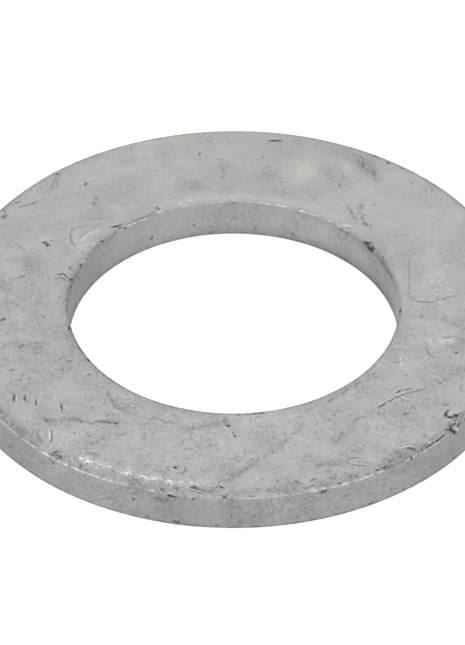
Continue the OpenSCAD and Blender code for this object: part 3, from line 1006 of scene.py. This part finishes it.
# ---- The zinc ----
class Nodes:
    """Short names for making shader nodes. The scales of noises are per metre."""

    def __init__(self, material):
        material.use_nodes = True
        self.tree = material.node_tree
        self.tree.nodes.clear()

    def new(self, kind, inputs=(), **settings):
        """A node. inputs holds the number, the colour or the socket that each of its inputs takes."""
        node = self.tree.nodes.new(kind)
        for name, value in settings.items():
            setattr(node, name, value)
        for name, value in dict(inputs).items():
            self.link(value, node.inputs[name])
        return node

    def link(self, value, socket):
        if isinstance(value, bpy.types.NodeSocket):
            self.tree.links.new(value, socket)
        else:
            socket.default_value = value

    def math(self, operation, a, b=0.0, clamp=False):
        return self.new("ShaderNodeMath", {0: a, 1: b}, operation=operation, use_clamp=clamp).outputs[0]

    def span(self, value, low, high, to_low=0.0, to_high=1.0, smooth=True):
        """value, taken from low to high onto to_low to to_high, and held there."""
        inputs = enumerate((value, low, high, to_low, to_high))
        curve = "SMOOTHSTEP" if smooth else "LINEAR"
        return self.new("ShaderNodeMapRange", inputs, interpolation_type=curve).outputs[0]

    def noise(self, place, scale, detail=2.0, roughness=0.5, distortion=0.0):
        inputs = {"Vector": place, "Scale": scale, "Detail": detail, "Roughness": roughness,
                  "Distortion": distortion}
        return self.new("ShaderNodeTexNoise", inputs).outputs[0]

    def attribute(self, name, output="Fac"):
        """What make_ring() stored on the mesh under that name."""
        node = self.new("ShaderNodeAttribute", attribute_type="GEOMETRY", attribute_name=name)
        return node.outputs[output]

    def split(self, vector):
        return self.new("ShaderNodeSeparateXYZ", {0: vector}).outputs[:]

    def turned(self, place, turn, scale, shift=(0, 0, 0)):
        """place, turned about the axis of the hole by so many degrees, scaled and shifted."""
        inputs = {"Vector": place, "Location": shift, "Rotation": (0, 0, math.radians(turn)),
                  "Scale": scale}
        return self.new("ShaderNodeMapping", inputs).outputs[0]

    def blend(self, share, a, b):
        node = self.new("ShaderNodeMix", data_type="RGBA")
        for name, value in (("Factor", share), ("A", a), ("B", b)):
            self.link(value, node.inputs[name])
        return node.outputs["Result"]

    def sum(self, *values):
        total = values[0]
        for value in values[1:]:
            total = self.math("ADD", total, value)
        return total

    def times(self, *values):
        total = values[0]
        for value in values[1:]:
            total = self.math("MULTIPLY", total, value)
        return total

    def finish(self, shader):
        self.new("ShaderNodeOutputMaterial", {0: shader.outputs[0]})


def stroke_masks(n, wobble, broken):
    """How much of every drawn mark is dark, bright and lit lip at each point."""
    dark, bright, lip = [], [], []
    for layer in range(STROKE_LAYERS):
        along, across, _ = n.split(n.attribute(f"stroke_{layer}", "Vector"))
        how_dark, how_bright, lip_highlight = n.split(n.attribute(f"look_{layer}", "Vector"))
        along_cubed = n.math("POWER", n.math("ABSOLUTE", along), 3.0)
        out = n.math("SQRT", n.sum(along_cubed, n.times(across, across)))
        out = n.sum(out, wobble)
        body = n.span(out, 1.5, 0.4)
        beside = n.math("SUBTRACT", across, 1.9)
        lip_out = n.math("SQRT", n.sum(along_cubed, n.times(beside, beside)))
        lip_out = n.sum(lip_out, wobble)
        dark.append(n.times(body, how_dark, broken))
        bright.append(n.times(body, how_bright))
        lip.append(n.times(n.span(lip_out, 1.2, 0.3), lip_highlight))
    return n.sum(*dark), n.sum(*bright), n.sum(*lip)


def make_zinc():
    """Mottled grey zinc, which takes the marks, dirt, wear, painted shade and painted highlights from what
    make_ring() stored.
    """
    material = bpy.data.materials.new("galvanised_zinc")
    n = Nodes(material)
    place = n.new("ShaderNodeTexCoord").outputs["Object"]
    steep = n.attribute("steep")
    shade = n.attribute("shade")
    mottle = n.attribute("mottle")
    lightness = n.attribute("lightness")
    warmth = n.attribute("warmth")
    grime = n.attribute("grime")
    dirt = n.attribute("dirt")
    wear = n.attribute("wear")
    rim_corner = n.attribute("rim_corner")
    mouth_corner = n.attribute("mouth_corner")

    cloud = n.noise(place, 260, 3, 0.9, 0.5)
    drift = n.span(n.noise(place, 330, 1, 0.5, 0.8), 0.25, 0.75, -0.07, 0.07, False)
    tint = n.noise(place, 450, 2, 0.5, 0.6)
    blush = n.noise(place, 700, 3, 0.6, 0.5)
    grain = n.noise(n.turned(place, 0, (1, 0.8, 1)), 4200, 2, 1.0)
    grit = n.noise(place, 5200, 2, 0.7)
    cluster = n.noise(place, 620, 2, 0.6, 0.8)
    chips = n.noise(place, 1400, 2, 0.6)
    beads = n.noise(place, 3200, 1, 0.5)
    streak_a = n.noise(n.turned(place, 25, (900, 7000, 3000)), 1, 2, 0.6, 0.5)
    streak_b = n.noise(n.turned(place, -60, (800, 6500, 3000), (3, 1, 2)), 1, 2, 0.6, 0.5)

    wobble = n.new("ShaderNodeMath", {0: grit, 1: 1.8, 2: -0.9}, operation="MULTIPLY_ADD").outputs[0]
    dark, bright, lip = stroke_masks(n, wobble, n.span(grain, 0.3, 0.62, 0.35, 1.12))

    # Brightness of the zinc about its middle grey, as a sum of small steps
    gritty = n.times(n.span(cluster, 0.48, 0.62), n.span(grit, 0.46, 0.64))
    glints = n.times(n.span(cluster, 0.52, 0.38), n.span(grit, 0.54, 0.68))
    streaks = n.span(n.math("MAXIMUM", streak_a, streak_b), 0.66, 0.8)
    soiled = n.times(n.math("MAXIMUM", n.times(lightness, -1.0), 0.0), n.span(grit, 0.4, 0.6))
    light = n.sum(
        n.span(cloud, 0.2, 0.8, -0.24, 0.24, False),
        n.times(n.span(grain, 0.2, 0.8, -0.3, 0.3, False), n.span(cluster, 0.35, 0.65, 0.7, 1.35)),
        n.times(gritty, -0.16), n.times(glints, 0.12), n.times(streaks, -0.03))
    light = n.sum(n.times(n.sum(n.times(light, mottle), drift), n.span(steep, 0, 1, 1, 0.8)),
                  n.times(lightness, 0.054), n.times(soiled, -0.11))
    # The corners are painted bright, partly as wear and partly as a painted highlight along the edges
    worn_and_lit = n.times(n.span(rim_corner, 0.11, 0.02), n.span(chips, 0.36, 0.54),
                   n.span(beads, 0.42, 0.58, 0.6, 1.2), wear)
    worn_and_lit_mouth = n.times(n.span(mouth_corner, 0.11, 0.03), n.span(chips, 0.38, 0.54),
                         n.span(beads, 0.42, 0.58, 0.15, 1.25), wear)
    band = n.span(rim_corner, 0.62, 0.4)
    grimy = n.times(grime, n.span(grit, 0.3, 0.7, 0.35, 0.8))

    # shade paints shade and highlight on the walls and beside the hole, and the darkening along the edges is
    # painted shade with some dirt
    level = n.sum(light, 1.0, n.times(shade, -1.0), n.times(band, 0.01), n.times(grimy, -0.3),
                  n.times(dirt, n.span(chips, 0.35, 0.6, -0.2, -0.5)))
    level = n.times(level, n.span(dark, 0, 1, 1, 0.2, False))
    # The worn corners, lit lips and bright marks add painted highlights on top
    level = n.sum(level, n.times(worn_and_lit, 0.6), n.times(worn_and_lit_mouth, 0.5), n.times(lip, 0.6),
                  n.times(bright, 0.7))

    hue = n.sum(n.span(tint, 0.3, 0.7, -0.5, 0.5, False), n.times(warmth, 0.5), n.times(steep, -0.45))
    cool = (0.352, 0.3655, 0.3725, 1)
    warm = (0.384, 0.3785, 0.3555, 1)
    base = n.blend(n.span(hue, -1, 1, 0, 1, False), cool, warm)
    rosy = n.sum(n.span(blush, 0.3, 0.7, 0, 0.8), n.times(steep, 0.65))
    blush_tint = n.blend(rosy, (0.993, 1.003, 1, 1), (1.011, 0.997, 1.003, 1))
    blushed = n.new("ShaderNodeVectorMath", {0: base, 1: blush_tint}, operation="MULTIPLY")
    colour = n.new("ShaderNodeVectorMath", {0: blushed.outputs[0], "Scale": level}, operation="SCALE")

    roughness = n.sum(0.5, n.span(cloud, 0.3, 0.7, -0.06, 0.06, False),
                      n.span(grain, 0.2, 0.8, -0.12, 0.12, False), n.times(dark, 0.3),
                      n.times(worn_and_lit, -0.12), n.times(bright, -0.15))
    height = n.sum(n.times(cloud, 0.8), n.times(grain, 0.6), n.times(grit, 0.3),
                   n.times(dark, -1.2), n.times(bright, 0.6), n.times(lip, 0.5),
                   n.times(streaks, -0.15))
    bump = n.new("ShaderNodeBump", {"Strength": 0.5, "Distance": 0.03 * MM, "Height": height})
    n.finish(n.new("ShaderNodeBsdfPrincipled", {
        "Metallic": 0.75,
        "Base Color": colour.outputs[0],
        "Roughness": n.math("MAXIMUM", roughness, 0.2),
        "Normal": bump.outputs[0],
    }))
    return material


# ---- Camera, lights and floor ----
# Angles are in degrees, and distances and the lens in millimetres. The camera looks at AIM.
CAMERA_ELEVATION = 40
CAMERA_ROLL = 0.13
CAMERA_DISTANCE = 335
LENS = 288.3
AIM = Vector((-0.08, 0.65, 0.77))

WORLD_LIGHT = 1.0
FLOOR_GLOW = 0.85
FLOOR_HALF_SIZE = 4.0
# The floor lies this far below the washer, in millimetres, so that the two faces never coincide
FLOOR_GAP = 0.02
# Name, azimuth and elevation in degrees, distance and size in metres, and power in watts
SOFTBOXES = [
    ("back_softbox", 0, 45, 0.8, 0.5, 0.5),
    ("front_softbox", 180, 45, 0.8, 0.3, 0.5),
    ("left_softbox", -90, 40, 0.8, 0.4, 0.3),
    ("top_softbox", 0, 88, 0.8, 0.4, 0.1),
]


def add_camera():
    data = bpy.data.cameras.new("camera")
    data.lens = LENS
    data.clip_start = 0.01
    data.clip_end = 20
    camera = add_object("camera", data)
    down = math.radians(CAMERA_ELEVATION)
    back = Vector((0, -math.cos(down), math.sin(down)))
    turn = Matrix.Rotation(math.radians(90 - CAMERA_ELEVATION), 4, "X")
    roll = Matrix.Rotation(math.radians(-CAMERA_ROLL), 4, "Z")
    camera.matrix_world = Matrix.Translation((AIM + back * CAMERA_DISTANCE) * MM) @ turn @ roll
    bpy.context.scene.camera = camera


def add_softbox(name, azimuth, elevation, distance, size, power):
    """A square lamp that faces the washer. Azimuth 0 is behind it, and 180 is on the camera's side."""
    data = bpy.data.lights.new(name, "AREA")
    data.shape = "SQUARE"
    data.size = size
    data.energy = power
    lamp = add_object(name, data)
    a, e = math.radians(azimuth), math.radians(elevation)
    away = Vector((math.sin(a) * math.cos(e), math.cos(a) * math.cos(e), math.sin(e)))
    lamp.location = away * distance
    lamp.rotation_euler = away.to_track_quat("Z", "Y").to_euler()
    lamp.visible_camera = False


def add_floor():
    mesh = bpy.data.meshes.new("floor")
    half = FLOOR_HALF_SIZE
    corners = [(-half, -half, 0), (half, -half, 0), (half, half, 0), (-half, half, 0)]
    mesh.from_pydata(corners, [], [(0, 1, 2, 3)])
    floor = add_object("floor", mesh)
    floor.location.z = -FLOOR_GAP * MM
    material = bpy.data.materials.new("pale_floor")
    n = Nodes(material)
    n.finish(n.new("ShaderNodeBsdfPrincipled", {
        "Base Color": (0.25, 0.25, 0.25, 1),
        "Roughness": 0.9,
        "Specular IOR Level": 0.1,
        "Emission Color": (1, 1, 1, 1),
        "Emission Strength": FLOOR_GLOW,
    }))
    mesh.materials.append(material)


def set_world():
    world = bpy.data.worlds.new("studio")
    world.use_nodes = True
    background = world.node_tree.nodes["Background"]
    background.inputs["Color"].default_value = (1, 1, 1, 1)
    background.inputs["Strength"].default_value = WORLD_LIGHT
    bpy.context.scene.world = world


bpy.context.scene.view_settings.view_transform = "Standard"
add_camera()
set_world()
add_floor()
for softbox in SOFTBOXES:
    add_softbox(*softbox)

washer = make_ring()
washer.data.materials.append(make_zinc())
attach(washer, "root")
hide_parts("washer")
